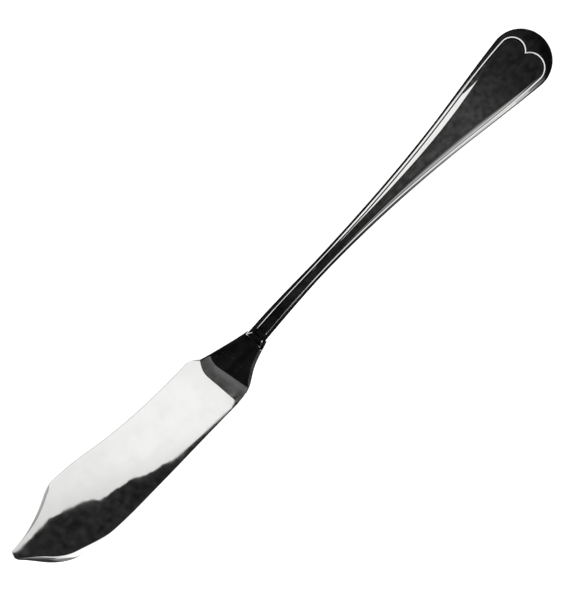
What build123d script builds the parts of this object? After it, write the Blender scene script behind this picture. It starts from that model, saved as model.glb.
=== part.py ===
from build123d import *
import math
import os

# Fish knife with a hollow, filled handle, in millimetres.
# The handle lies along X with its round butt at +X and the blade at -X.
# The back of the blade is at +Y and its cutting edge at -Y.
# The origin is the centre of the round butt, on the flat back panel that the knife rests on.

# Handle plan
butt_radius = 8.85
handle_length = 115.9
taper_angle = 6.0
taper_station = 38.7
taper_width = 10.1
waist_from_mouth = 27.4
waist_width = 4.15
mouth_width = 5.15
neck_sweep = 1.0
neck_lean = 4.0

# Handle section
handle_thickness = 5.0
wall = 0.6
rim_round = 0.5
rim_drop = 0.05
groove_depth = 0.3
mouth_bevel = 0.4
seam_film = 0.1
mouth_film = 0.1

# Thread border and heart, each inset measured from the handle's edge
thread_inset_butt = 1.5
thread_inset_side = 1.15
thread_inset_neck = 0.9
groove_width_side = 0.3
groove_width_neck = 0.2
bevel_width_butt = 0.2
bevel_width_side = 1.0
bevel_width_neck = 0.15
cusp_depth = 6.35
cusp_recess = 1.6
thread_end_gap = 3.9

# Shoulder: stations from the handle's mouth towards the tip, sides from the handle's axis
shoulder_length = 14.1
spine_ear_length = 0.8
spine_ear_width = 0.25
edge_ear_length = 2.4
edge_ear_width = 0.15
ear_gap = 0.15
throat_thickness = 4.6
ear_flare_angle = 18.0
flare_length = 9.4
flare_spine_side = 3.55
flare_edge_side = 6.8
swell_length = 5.2
swell_side = 9.2
fan_corner_side = 5.9
fan_bulge = 1.8
fan_bulge_side = 1.0
fan_skew = 1.1
fan_bevel_length = 4.9
fan_bevel_thickness = 3.4
fan_lip = 0.2

# Tang
tang_length = 55.0
tang_root_width = 1.8
tang_end_width = 1.2
tang_thickness = 1.6

# Blade: its reach from the mouth, and points set by their distance from the tip and to a side
blade_reach = 89.1
back_thickness = 1.7
edge_thickness = 0.6
heel_run = 3.1
heel_side = 7.85
rise_from_tip = 41.8
rise_side = 9.4
hump_from_tip = 22.1
hump_side = 11.9
notch_from_tip = 16.9
notch_side = 10.2
hollow_from_tip = 11.4
hollow_side = 8.0
nose_side = 4.55
nose_half_height = 1.7
nose_round = 0.7
belly_tip_from_tip = 5.8
belly_tip_side = 3.4
belly_turn_from_tip = 11.4
belly_turn_side = 7.6
belly_from_tip = 19.7
belly_side = 9.5
edge_from_tip = 48.7
edge_side = 10.25
edge_heel_rise = 0.15

# Tongue at the blade's root, and the pins that hold it
tongue_length = 8.5
tongue_width = 7.0
tongue_side = 1.9
heel_cover = 1.5
pin_diameter = 1.6
pin_spacing = 3.8
pin_inset = 2.9
pin_front_cover = 0.5

# Places worked out from the sizes above
mid_height = handle_thickness / 2
mouth_x = butt_radius - handle_length
taper_x = butt_radius - taper_station
waist_x = mouth_x + waist_from_mouth
seat_x = mouth_x - mouth_film
thread_end_x = mouth_x + thread_end_gap
neck_direction = (-math.cos(math.radians(neck_lean)), -math.sin(math.radians(neck_lean)))
fan_end_station = shoulder_length + fan_bulge
fan_heel_station = shoulder_length + fan_skew
flare_station = fan_heel_station - flare_length
ear_flare = math.radians(ear_flare_angle)
ear_direction = (-math.cos(ear_flare), -math.sin(ear_flare))
edge_heel_side = edge_side - edge_heel_rise
tongue_station = shoulder_length - tongue_length


def at(station, side):
    """Point at a distance from the mouth towards the tip, and to a side of the handle's axis."""
    return (mouth_x - station, side)


def near_tip(distance, side):
    """Point at a distance from the tip back towards the handle, and to a side of its axis."""
    return at(blade_reach - distance, side)


def side_curve(first, direction, side, insets, end_x):
    """Long side of the handle or of a line inside it, from the butt to end_x."""
    inset_taper, inset_waist, inset_end = insets
    Spline(
        first,
        (taper_x, side * (taper_width / 2 - inset_taper)),
        (waist_x, side * (waist_width / 2 - inset_waist)),
        (end_x, side * (mouth_width / 2 - inset_end) - neck_sweep),
        tangents=[direction, neck_direction],
    )


def handle_plan(inset):
    """Face of the handle's plan, drawn in by inset on every side but the mouth."""
    radius = butt_radius - inset
    tangent_x = -radius * math.sin(math.radians(taper_angle))
    tangent_y = radius * math.cos(math.radians(taper_angle))
    mouth_half = mouth_width / 2 - inset
    insets = (inset, inset, inset)
    with BuildLine() as border:
        ThreePointArc((tangent_x, tangent_y), (radius, 0), (tangent_x, -tangent_y))
        for side in (1, -1):
            direction = (-tangent_y, side * tangent_x)
            side_curve((tangent_x, side * tangent_y), direction, side, insets, mouth_x)
        Line((mouth_x, mouth_half - neck_sweep), (mouth_x, -mouth_half - neck_sweep))
    make_face(border.edges())


def heart_plan(inset_butt, inset_side, inset_neck):
    """Face inside a line of the thread border, with the heart's two lobes at the butt."""
    half = butt_radius - inset_butt
    cusp_x = butt_radius - cusp_depth - cusp_recess * (inset_butt - thread_inset_butt)
    lobe_radius = (half**2 + cusp_x**2) / (2 * half)
    lobe_side = half - lobe_radius
    end_half = mouth_width / 2 - inset_neck
    insets = (inset_side, inset_neck, inset_neck)
    with BuildLine() as border:
        for side in (1, -1):
            ThreePointArc((cusp_x, 0), (lobe_radius, side * lobe_side), (0, side * half))
            side_curve((0, side * half), (-1, 0), side, insets, thread_end_x)
        Line((thread_end_x, end_half - neck_sweep), (thread_end_x, -end_half - neck_sweep))
    make_face(border.edges())


# Front half-shell of the handle, struck with the thread border and the raised panel
front_seam = mid_height + seam_film / 2
rim_height = handle_thickness - rim_drop
groove_floor = handle_thickness - groove_depth
cavity_top = handle_thickness - wall
groove_inset_butt = thread_inset_butt + groove_width_side
groove_inset_side = thread_inset_side + groove_width_side
groove_inset_neck = thread_inset_neck + groove_width_neck

with BuildPart() as handle_front:
    with BuildSketch(Plane.XY.offset(front_seam)):
        handle_plan(0)
    extrude(amount=rim_height - front_seam)
    rim_edges = handle_front.faces().sort_by(Axis.Z)[-1].edges().filter_by(Axis.Y, reverse=True)
    fillet(rim_edges, rim_round)
    with BuildSketch(Plane.XY.offset(groove_floor)):
        heart_plan(thread_inset_butt, thread_inset_side, thread_inset_neck)
    extrude(amount=groove_depth, mode=Mode.SUBTRACT)
    with BuildSketch(Plane.XY.offset(groove_floor)):
        heart_plan(groove_inset_butt, groove_inset_side, groove_inset_neck)
    with BuildSketch(Plane.XY.offset(handle_thickness)):
        heart_plan(
            groove_inset_butt + bevel_width_butt,
            groove_inset_side + bevel_width_side,
            groove_inset_neck + bevel_width_neck,
        )
    loft(ruled=True)
    with BuildSketch(Plane.XY.offset(front_seam)):
        handle_plan(wall)
    extrude(amount=cavity_top - front_seam, mode=Mode.SUBTRACT)
    with BuildSketch(Plane.XZ):
        with BuildLine():
            Polyline(
                (mouth_x, rim_height),
                (mouth_x + mouth_bevel, rim_height),
                (mouth_x, rim_height - mouth_bevel),
                close=True,
            )
        make_face()
    extrude(amount=2 * mouth_width, both=True, mode=Mode.SUBTRACT)
handle_front.part.label = "handle_front"

# Back half-shell, the front one turned over about the seam
with BuildPart() as handle_back:
    mirror(handle_front.part, about=Plane.XY.offset(mid_height))
handle_back.part.label = "handle_back"

# Solder film between the two half-shells
with BuildPart() as handle_seam_solder:
    with BuildSketch(Plane.XY.offset(mid_height)):
        handle_plan(0)
    extrude(amount=seam_film / 2, both=True)
    with BuildSketch(Plane.XY.offset(mid_height)):
        handle_plan(wall)
    extrude(amount=seam_film / 2, both=True, mode=Mode.SUBTRACT)
handle_seam_solder.part.label = "handle_seam_solder"


def blade_plan():
    """Face of the blade from its heel, hidden in the shoulder, to the tip."""
    root_station = shoulder_length - heel_cover
    heel_root = at(root_station, fan_corner_side - heel_cover)
    heel = at(shoulder_length + heel_run, heel_side)
    hump = near_tip(hump_from_tip, hump_side)
    nose_top = near_tip(nose_round, nose_side + nose_half_height)
    nose_bottom = near_tip(nose_round, nose_side - nose_half_height)
    nose_radius = (nose_half_height**2 + nose_round**2) / (2 * nose_round)
    nose_direction = (nose_half_height, nose_round - nose_radius)
    edge_heel = at(fan_heel_station, -edge_heel_side)
    edge_root = at(root_station, heel_cover - edge_heel_side)
    with BuildLine() as border:
        Spline(heel_root, heel, tangents=[(-1, 1), (-1, 0)])
        Spline(heel, near_tip(rise_from_tip, rise_side), hump, tangents=[(-1, 0), (-1, 0)])
        Spline(
            hump,
            near_tip(notch_from_tip, notch_side),
            near_tip(hollow_from_tip, hollow_side),
            nose_top,
            tangents=[(-1, 0), (-1, 0)],
        )
        ThreePointArc(nose_top, near_tip(0, nose_side), nose_bottom)
        Spline(
            nose_bottom,
            near_tip(belly_tip_from_tip, -belly_tip_side),
            near_tip(belly_turn_from_tip, -belly_turn_side),
            near_tip(belly_from_tip, -belly_side),
            near_tip(edge_from_tip, -edge_side),
            edge_heel,
            tangents=[nose_direction, (1, 0)],
        )
        Line(edge_heel, edge_root)
        Line(edge_root, heel_root)
    make_face(border.edges())


def fan_profile():
    """Side view of the shoulder: level at the ears, sloping to the bevel and down to the lip."""
    lip_half = back_thickness / 2 + fan_lip
    bevel_half = fan_bevel_thickness / 2
    throat_half = throat_thickness / 2
    bevel_station = fan_end_station - fan_bevel_length
    ear_end = mouth_x + edge_ear_length
    with BuildLine() as border:
        Polyline(
            (ear_end, mid_height + throat_half),
            (seat_x, mid_height + throat_half),
            at(bevel_station, mid_height + bevel_half),
            at(fan_end_station, mid_height + lip_half),
            at(fan_end_station, mid_height - lip_half),
            at(bevel_station, mid_height - bevel_half),
            (seat_x, mid_height - throat_half),
            (ear_end, mid_height - throat_half),
            close=True,
        )
    make_face(border.edges())


# Pins from the back face of the shoulder through the tongue, ending short of the front face
with BuildPart() as shoulder_pins:
    with BuildSketch(Plane.XY):
        with Locations(at(tongue_station + pin_inset, -tongue_side)):
            with GridLocations(0, pin_spacing, 1, 2):
                Circle(pin_diameter / 2)
    extrude(amount=mid_height + fan_bevel_thickness / 2 - pin_front_cover)
    with BuildSketch(Plane.XZ):
        fan_profile()
    extrude(amount=2 * edge_side, both=True, mode=Mode.INTERSECT)
shoulder_pins.part.label = "shoulder_pins"

# Blade: a plate that thins from its back to its edge, with a tongue at the root
with BuildPart() as blade:
    with BuildSketch(Plane.XY.offset(mid_height)):
        blade_plan()
        with Locations(at(tongue_station, -tongue_side)):
            Rectangle(tongue_length, tongue_width, align=(Align.MAX, Align.CENTER))
    extrude(amount=back_thickness / 2, both=True)
    with BuildSketch(Plane.YZ.offset(mouth_x)):
        with BuildLine():
            Polyline(
                (hump_side, mid_height + back_thickness / 2),
                (hump_side, mid_height - back_thickness / 2),
                (-edge_side, mid_height - edge_thickness / 2),
                (-edge_side, mid_height + edge_thickness / 2),
                close=True,
            )
        make_face()
    extrude(amount=-blade_reach, mode=Mode.INTERSECT)
    add(shoulder_pins.part, mode=Mode.SUBTRACT)
blade.part.label = "blade"

# Shoulder: a fan with its ears, its seat for the neck, its slot for the tongue and the tang
with BuildPart() as shoulder:
    seat_half = mouth_width / 2 + ear_gap
    spine_ear = at(-spine_ear_length, seat_half - neck_sweep + spine_ear_width)
    edge_ear = at(-edge_ear_length, -seat_half - neck_sweep - edge_ear_width)
    fan_corner = at(shoulder_length, fan_corner_side)
    fan_heel = at(fan_heel_station, -edge_heel_side)
    with BuildSketch(Plane.XY.offset(mid_height)):
        with BuildLine():
            Spline(spine_ear, at(flare_station, flare_spine_side), fan_corner)
            ThreePointArc(fan_corner, at(fan_end_station, fan_bulge_side), fan_heel)
            Spline(
                edge_ear,
                at(flare_station, -flare_edge_side),
                at(fan_heel_station - swell_length, -swell_side),
                fan_heel,
                tangents=[ear_direction, (-1, 0)],
            )
            Line(spine_ear, edge_ear)
        make_face()
    extrude(amount=throat_thickness / 2, both=True)
    with BuildSketch(Plane.XZ):
        fan_profile()
    extrude(amount=2 * edge_side, both=True, mode=Mode.INTERSECT)
    with BuildSketch(Plane.XY.offset(mid_height)):
        with Locations((seat_x, -neck_sweep)):
            Rectangle(2 * edge_ear_length, 2 * seat_half, align=(Align.MIN, Align.CENTER))
    extrude(amount=throat_thickness / 2, both=True, mode=Mode.SUBTRACT)
    add(blade.part, mode=Mode.SUBTRACT)
    add(shoulder_pins.part, mode=Mode.SUBTRACT)
    with BuildSketch(Plane.XY.offset(mid_height)):
        with BuildLine():
            Polyline(
                (seat_x, -neck_sweep - tang_root_width / 2),
                (waist_x, -tang_root_width / 2),
                at(-tang_length, -tang_end_width / 2),
                at(-tang_length, tang_end_width / 2),
                (waist_x, tang_root_width / 2),
                (seat_x, -neck_sweep + tang_root_width / 2),
                close=True,
            )
        make_face()
    extrude(amount=tang_thickness / 2, both=True)
shoulder.part.label = "shoulder"

# Solder film between the neck's mouth and its seat on the shoulder
with BuildPart() as mouth_solder:
    with BuildSketch(Plane.YZ.offset(seat_x)):
        with Locations((-neck_sweep, mid_height)):
            Rectangle(mouth_width - 2 * mouth_bevel, handle_thickness - 2 * (rim_drop + mouth_bevel))
    extrude(amount=mouth_film)
    add(shoulder.part, mode=Mode.SUBTRACT)
mouth_solder.part.label = "mouth_solder"

# Cement that fills the handle round the tang
with BuildPart() as handle_filler:
    with BuildSketch(Plane.XY.offset(wall)):
        handle_plan(wall)
    extrude(amount=handle_thickness - 2 * wall)
    add(shoulder.part, mode=Mode.SUBTRACT)
handle_filler.part.label = "handle_filler"

os.makedirs("parts", exist_ok=True)
pieces = (
    handle_front,
    handle_back,
    handle_seam_solder,
    mouth_solder,
    handle_filler,
    shoulder,
    shoulder_pins,
    blade,
)
for piece in pieces:
    export_step(piece.part, f"parts/{piece.part.label}.step")
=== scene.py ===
"""Fish knife: smooth plated handle, shoulder and blade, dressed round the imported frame."""

import logging
import math
from dataclasses import dataclass
from enum import Enum
from typing import Callable, Sequence

import bmesh
import bpy
import numpy as np
from mathutils import Matrix, Vector


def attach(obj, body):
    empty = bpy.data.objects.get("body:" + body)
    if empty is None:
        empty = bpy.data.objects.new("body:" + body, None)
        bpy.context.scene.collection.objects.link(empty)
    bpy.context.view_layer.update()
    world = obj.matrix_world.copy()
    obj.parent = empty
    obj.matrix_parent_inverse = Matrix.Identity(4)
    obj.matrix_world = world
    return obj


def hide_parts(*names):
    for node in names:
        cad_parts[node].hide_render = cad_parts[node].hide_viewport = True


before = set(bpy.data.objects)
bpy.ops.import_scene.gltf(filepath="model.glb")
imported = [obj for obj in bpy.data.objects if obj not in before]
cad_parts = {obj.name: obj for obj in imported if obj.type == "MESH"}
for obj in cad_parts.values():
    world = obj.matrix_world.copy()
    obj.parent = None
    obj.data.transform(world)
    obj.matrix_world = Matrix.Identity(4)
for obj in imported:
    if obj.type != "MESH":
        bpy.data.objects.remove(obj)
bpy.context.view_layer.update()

Point = tuple[float, float]
Place = tuple[float, float, float]
Colour = tuple[float, float, float]
Ramp = tuple[float, float, float, float]
Material = bpy.types.Material
Piece = bpy.types.Object
Socket = bpy.types.NodeSocket

# Sizes are in millimetres until they are laid in a mesh or a node.
MM = 0.001
WHITE = (1.0, 1.0, 1.0, 1.0)
# Corners closer than this are joined, in metres.
DOUBLES = 1e-6
log = logging.getLogger("fish_knife")


class Side(Enum):
    """The two long sides of the knife, as the sign of Y."""

    SPINE = 1
    EDGE = -1


def smoothstep(low: float, high: float, value: float) -> float:
    """Ease from 0 at low to 1 at high."""
    share = min(max((value - low) / (high - low), 0.0), 1.0)
    return share * share * (3 - 2 * share)


def mix(first: float, second: float, share: float) -> float:
    """Go from first to second by a share."""
    return first + (second - first) * share


def eased(share: float, ramp: float = 0.2) -> float:
    """Climb evenly from 0 to 1, with a soft start and a soft end.

    Args:
        share: How far along the climb.
        ramp: The share that each soft end takes.

    Returns:
        How high the climb is there.
    """
    if share < ramp:
        return share**2 / (2 * ramp * (1 - ramp))
    if share > 1 - ramp:
        return 1 - eased(1 - share, ramp)
    return (share - ramp / 2) / (1 - ramp)


def spaced(line: Sequence[Point], count: int) -> list[Point]:
    """Spread points evenly along a line of many short runs.

    Args:
        line: The line's own points.
        count: How many runs the new line has.

    Returns:
        count + 1 points from the line's start to its end.
    """
    points = np.array(line, float)
    runs = np.linalg.norm(np.diff(points, axis=0), axis=1)
    along = np.concatenate(([0.0], np.cumsum(runs)))
    wanted = np.linspace(0.0, along[-1], count + 1)
    columns = [np.interp(wanted, along, points[:, axis]) for axis in (0, 1)]
    return [(float(x), float(y)) for x, y in zip(*columns)]


def smooth_curve(knots: Sequence[Point], start: Point, end: Point, count: int) -> list[Point]:
    """Draw one smooth cubic line through knots, with its direction given at both ends.

    Args:
        knots: The points that the line passes through.
        start: Direction at the first point.
        end: Direction at the last point.
        count: How many even runs the line is cut into.

    Returns:
        count + 1 points along the line.
    """
    places = np.array(knots, float)
    chords = np.linalg.norm(np.diff(places, axis=0), axis=1)
    last = len(places) - 1
    system = np.zeros((last + 1, last + 1))
    right = np.zeros((last + 1, 2))
    system[0, 0] = system[last, last] = 1.0
    right[0] = np.array(start) / np.hypot(*start)
    right[last] = np.array(end) / np.hypot(*end)
    for i in range(1, last):
        before, after = chords[i - 1], chords[i]
        system[i, i - 1 : i + 2] = after, 2 * (before + after), before
        right[i] = 3 * after * (places[i] - places[i - 1]) / before
        right[i] += 3 * before * (places[i + 1] - places[i]) / after
    slopes = np.linalg.solve(system, right)
    steps_to_a_span = 80
    share = np.linspace(0.0, 1.0, steps_to_a_span)[:, None]
    spans = []
    for i, chord in enumerate(chords):
        spans.append(
            (1 + 2 * share) * (1 - share) ** 2 * places[i]
            + share * (1 - share) ** 2 * chord * slopes[i]
            + share**2 * (3 - 2 * share) * places[i + 1]
            + share**2 * (share - 1) * chord * slopes[i + 1]
        )
    return spaced(np.concatenate(spans), count)


def arc_through(first: Point, middle: Point, last: Point, count: int) -> list[Point]:
    """Draw the circular arc through three points.

    Args:
        first: Where the arc starts.
        middle: A point on the arc.
        last: Where the arc ends.
        count: How many even runs the arc is cut into.

    Returns:
        count + 1 points along the arc.
    """
    ax, ay = first
    bx, by = middle
    cx, cy = last
    turn = 2 * (ax * (by - cy) + bx * (cy - ay) + cx * (ay - by))
    a2, b2, c2 = ax * ax + ay * ay, bx * bx + by * by, cx * cx + cy * cy
    mx = (a2 * (by - cy) + b2 * (cy - ay) + c2 * (ay - by)) / turn
    my = (a2 * (cx - bx) + b2 * (ax - cx) + c2 * (bx - ax)) / turn
    radius = math.hypot(ax - mx, ay - my)
    begin = math.atan2(ay - my, ax - mx)
    way = math.copysign(1.0, turn)
    sweep = (way * (math.atan2(cy - my, cx - mx) - begin)) % math.tau
    angles = [begin + way * sweep * i / count for i in range(count + 1)]
    return [(mx + radius * math.cos(a), my + radius * math.sin(a)) for a in angles]


def straight(first: Point, last: Point, count: int) -> list[Point]:
    """Cut the straight line between two points into even runs."""
    return [tuple(mix(a, b, i / count) for a, b in zip(first, last)) for i in range(count + 1)]


def set_in(ring: Sequence[Point], widths: Sequence[float]) -> list[Point]:
    """Draw a closed ring in, each point by its own width, square to the ring.

    Args:
        ring: The closed ring, clockwise or not.
        widths: How far each point moves inwards.

    Returns:
        The ring of moved points.
    """
    count = len(ring)
    turns = [ring[i - 1][0] * ring[i][1] - ring[i][0] * ring[i - 1][1] for i in range(count)]
    way = math.copysign(1.0, sum(turns))
    moved = []
    for i, (x, y) in enumerate(ring):
        before, after = ring[i - 1], ring[(i + 1) % count]
        dx, dy = after[0] - before[0], after[1] - before[1]
        step = way * widths[i] / math.hypot(dx, dy)
        moved.append((x - dy * step, y + dx * step))
    return moved


def pick_faces(piece: Piece, chosen: Callable[[bmesh.types.BMFace], bool]) -> None:
    """Select the faces of a piece in edit mode that pass a test, and no others.

    Args:
        piece: The piece.
        chosen: Says whether a face is taken.
    """
    bpy.ops.mesh.select_mode(type="FACE")
    bpy.ops.mesh.select_all(action="DESELECT")
    mesh = bmesh.from_edit_mesh(piece.data)
    for face in mesh.faces:
        face.select_set(chosen(face))
    bmesh.update_edit_mesh(piece.data)


def mirror_picked(level: float) -> None:
    """Mirror what is selected in edit mode about a level plane.

    Args:
        level: Height of the plane in millimetres.
    """
    bpy.ops.transform.mirror(
        orient_type="GLOBAL",
        constraint_axis=(False, False, True),
        center_override=(0.0, 0.0, level * MM),
    )


class Workpiece:
    """One mesh on the bench: a grid laid on a patch, then drawn out border by border."""

    def __init__(self, name: str, columns: int, rows: int) -> None:
        """Lay a plain grid.

        Args:
            name: The piece's name.
            columns: Runs along the piece.
            rows: Runs across it.
        """
        self.columns = columns
        self.rows = rows
        self.far_corner = columns + rows
        self.near_corner = 2 * columns + rows
        self.around = 2 * (columns + rows)
        bpy.ops.object.select_all(action="DESELECT")
        bpy.ops.mesh.primitive_grid_add(x_subdivisions=columns, y_subdivisions=rows, size=2.0)
        self.piece = bpy.context.active_object
        self.piece.name = self.piece.data.name = name
        bpy.ops.object.mode_set(mode="EDIT")

    def border(self, column: int, row: int) -> int:
        """Number the border: along the spine side, round the far end, back, and across the near end.

        Args:
            column: A grid point's column.
            row: Its row.

        Returns:
            Its number on the border, or -1 inside it.
        """
        if row == self.rows:
            return column
        if column == self.columns:
            return self.far_corner - row
        if row == 0:
            return self.near_corner - column
        if column == 0:
            return self.near_corner + row
        return -1

    def along(self, number: int) -> float:
        """Say how far along the piece a border point lies.

        Args:
            number: The point's number on the border.

        Returns:
            A share, from 0 at the near end to 1 at the far end.
        """
        if number <= self.columns:
            return number / self.columns
        if number <= self.far_corner:
            return 1.0
        return max(self.near_corner - number, 0) / self.columns

    def patch(self, rim: np.ndarray, column: int, row: int) -> Point:
        """Place a grid point inside a ring, blended from the ring's four sides.

        Args:
            rim: The ring, numbered as border() numbers it.
            column: The point's column.
            row: Its row.

        Returns:
            Its x and y.
        """
        u, v = column / self.columns, row / self.rows
        spine, edge = rim[column], rim[self.near_corner - column]
        far, near = rim[self.far_corner - row], rim[(self.near_corner + row) % self.around]
        place = (1 - u) * near + u * far + (1 - v) * edge + v * spine
        place = place - (1 - u) * ((1 - v) * rim[self.near_corner] + v * rim[0])
        place = place - u * ((1 - v) * rim[self.far_corner] + v * rim[self.columns])
        return float(place[0]), float(place[1])

    def lay(self, ring: Sequence[Point], height: Callable[[float, float, float], float]) -> None:
        """Stretch the grid over the patch inside a ring, and select its border.

        Args:
            ring: The patch's border, numbered as border() numbers it.
            height: Gives z from x, y and the share along the piece.
        """
        mesh = bmesh.from_edit_mesh(self.piece.data)
        number = mesh.verts.layers.int.new("around")
        order = mesh.verts.layers.int.new("column")
        # Each corner's share of painted shade, which the plate's material reads.
        mesh.verts.layers.float.new("painted_shade")
        rim = np.array(ring)
        for vertex in mesh.verts:
            column = round((vertex.co.x + 1) / 2 * self.columns)
            row = round((vertex.co.y + 1) / 2 * self.rows)
            vertex[number] = self.border(column, row)
            vertex[order] = column
            x, y = self.patch(rim, column, row)
            vertex.co = Vector((x, y, height(x, y, column / self.columns))) * MM
        bpy.ops.mesh.select_mode(type="EDGE")
        for edge in mesh.edges:
            edge.select_set(edge.is_boundary)
        mesh.select_flush_mode()
        bmesh.update_edit_mesh(self.piece.data)

    def draw_out(self, ring: Sequence[Place], painted_shade: float = 0.0) -> None:
        """Extrude the selected border and set the new border in its place.

        Args:
            ring: The new border.
            painted_shade: How much painted shade it carries.
        """
        bpy.ops.mesh.extrude_edges_indiv()
        mesh = bmesh.from_edit_mesh(self.piece.data)
        number = mesh.verts.layers.int["around"]
        dark = mesh.verts.layers.float["painted_shade"]
        for vertex in mesh.verts:
            if vertex.select:
                vertex.co = Vector(ring[vertex[number]]) * MM
                vertex[dark] = painted_shade
        bmesh.update_edit_mesh(self.piece.data)

    def close(self) -> None:
        """Put a face over the selected border."""
        bpy.ops.mesh.edge_face_add()

    def pull(self, chosen: Callable[[Vector], bool], move: Callable[[Vector], Place]) -> None:
        """Extrude some faces and set their far corners in place.

        Args:
            chosen: Says from a face's middle, in millimetres, whether it is taken.
            move: Gives the new place of a corner, in millimetres, from its old one.
        """
        pick_faces(self.piece, lambda face: chosen(face.calc_center_median() / MM))
        bpy.ops.mesh.extrude_region()
        mesh = bmesh.from_edit_mesh(self.piece.data)
        for vertex in mesh.verts:
            if vertex.select:
                vertex.co = Vector(move(vertex.co / MM)) * MM
        bmesh.update_edit_mesh(self.piece.data)

    def darken(self, chosen: Callable[[Vector], bool], painted_shade: float) -> None:
        """Paint shade onto some places.

        Args:
            chosen: Says from a corner's place, in millimetres, whether it is taken.
            painted_shade: How much painted shade it gets there.
        """
        mesh = bmesh.from_edit_mesh(self.piece.data)
        dark = mesh.verts.layers.float["painted_shade"]
        for vertex in mesh.verts:
            if chosen(vertex.co / MM):
                vertex[dark] = painted_shade
        bmesh.update_edit_mesh(self.piece.data)

    def crease(self, column: int) -> None:
        """Keep the line across the piece at one column sharp.

        Args:
            column: The grid's column.
        """
        bpy.ops.mesh.select_mode(type="EDGE")
        bpy.ops.mesh.select_all(action="DESELECT")
        mesh = bmesh.from_edit_mesh(self.piece.data)
        order = mesh.verts.layers.int["column"]
        for edge in mesh.edges:
            edge.select_set(all(end[order] == column for end in edge.verts))
        bmesh.update_edit_mesh(self.piece.data)
        bpy.ops.mesh.mark_sharp()

    def turn_over(self, level: float) -> None:
        """Mirror the piece about a level plane, without the faces that lie in it.

        Args:
            level: Height of the plane in millimetres.
        """
        flat = level * MM + DOUBLES / 10
        pick_faces(self.piece, lambda face: all(corner.co.z < flat for corner in face.verts))
        bpy.ops.mesh.delete(type="FACE")
        bpy.ops.mesh.select_all(action="SELECT")
        bpy.ops.mesh.duplicate()
        mirror_picked(level)

    def finish(self, crease: float) -> Piece:
        """Join doubles, point the faces outwards and smooth them.

        Args:
            crease: Edges that turn by more degrees than this stay sharp.

        Returns:
            The finished object.
        """
        bpy.ops.mesh.select_all(action="SELECT")
        bpy.ops.mesh.remove_doubles(threshold=DOUBLES)
        bpy.ops.mesh.normals_make_consistent(inside=False)
        bpy.ops.object.mode_set(mode="OBJECT")
        bpy.ops.object.shade_smooth_by_angle(angle=math.radians(crease))
        return self.piece


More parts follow.
